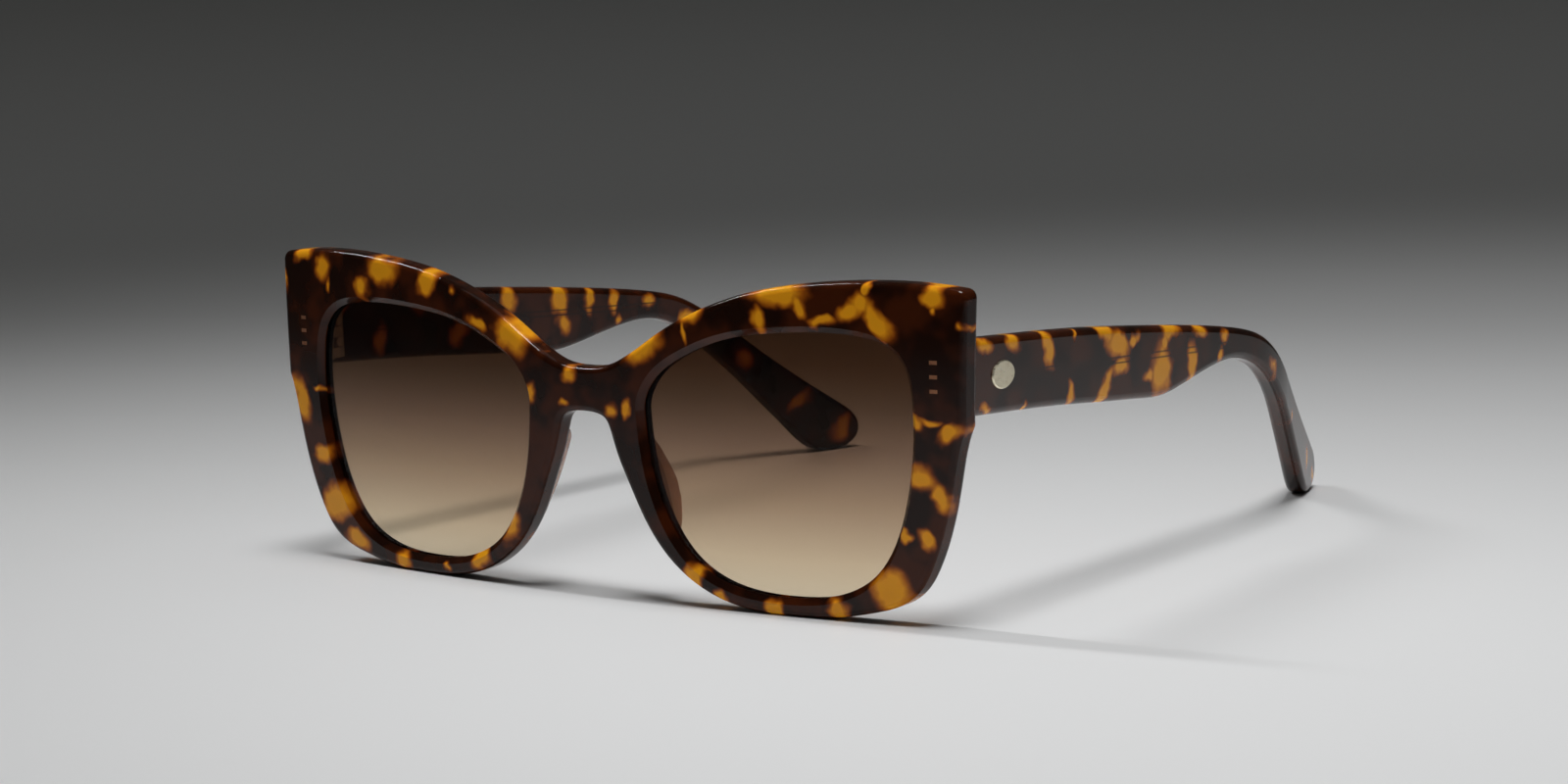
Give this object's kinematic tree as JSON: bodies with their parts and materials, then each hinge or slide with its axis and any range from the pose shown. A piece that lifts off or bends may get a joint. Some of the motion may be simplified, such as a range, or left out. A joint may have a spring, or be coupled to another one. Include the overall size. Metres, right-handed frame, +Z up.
{
  "type": "cat eye sunglasses",
  "caption": "Cat eye sunglasses with a thick acetate front, upswept outer corners, tinted lenses and temples that fold on barrel hinges.",
  "frame": {"origin": "on the supporting surface, in the middle of the opened frame's bounding box", "axes": "+X to the wearer's left, +Y back along the temples, away from the lenses' front, +Z up"},
  "size_m": [0.1426, 0.1386, 0.0532],
  "materials": {
    "tortoiseshell_acetate": "polished acetate, near black brown with amber patches",
    "gradient_lens": "polished, brown, darker at the top",
    "clear_brown_acetate": "polished clear brown acetate",
    "hinge_steel": "satin nickel silver",
    "screw_steel": "bright",
    "rivet_copper": "polished flush",
    "core_wire_steel": "plain wire",
    "plaque_gold": "pale gold plate, finely brushed"
  },
  "bodies": {
    "front": {"frame_front": "tortoiseshell_acetate", "lens_left": "gradient_lens", "lens_right": "gradient_lens", "nose_pad_left": "clear_brown_acetate", "nose_pad_right": "clear_brown_acetate", "front_hinge_left": "hinge_steel", "front_hinge_right": "hinge_steel", "hinge_rivets_left": "rivet_copper", "hinge_rivets_right": "rivet_copper", "hinge_screw_left": "screw_steel", "hinge_screw_right": "screw_steel"},
    "temple_left": {"temple_left": "tortoiseshell_acetate", "temple_hinge_left": "hinge_steel", "core_wire_left": "core_wire_steel", "temple_plaque_left": "plaque_gold"},
    "temple_right": {"temple_right": "tortoiseshell_acetate", "temple_hinge_right": "hinge_steel", "core_wire_right": "core_wire_steel", "temple_plaque_right": "plaque_gold"}
  },
  "joints": [
    {"name": "temple_fold_left", "type": "hinge", "parent": "front", "child": "temple_left", "pos_m": [0.0643, -0.05859, 0.0384], "axis": [0, 0, 1], "range_deg": [0, 69]},
    {"name": "temple_fold_right", "type": "hinge", "parent": "front", "child": "temple_right", "pos_m": [-0.0643, -0.05859, 0.0384], "axis": [0, 0, -1], "range_deg": [0, 83]}
  ]
}
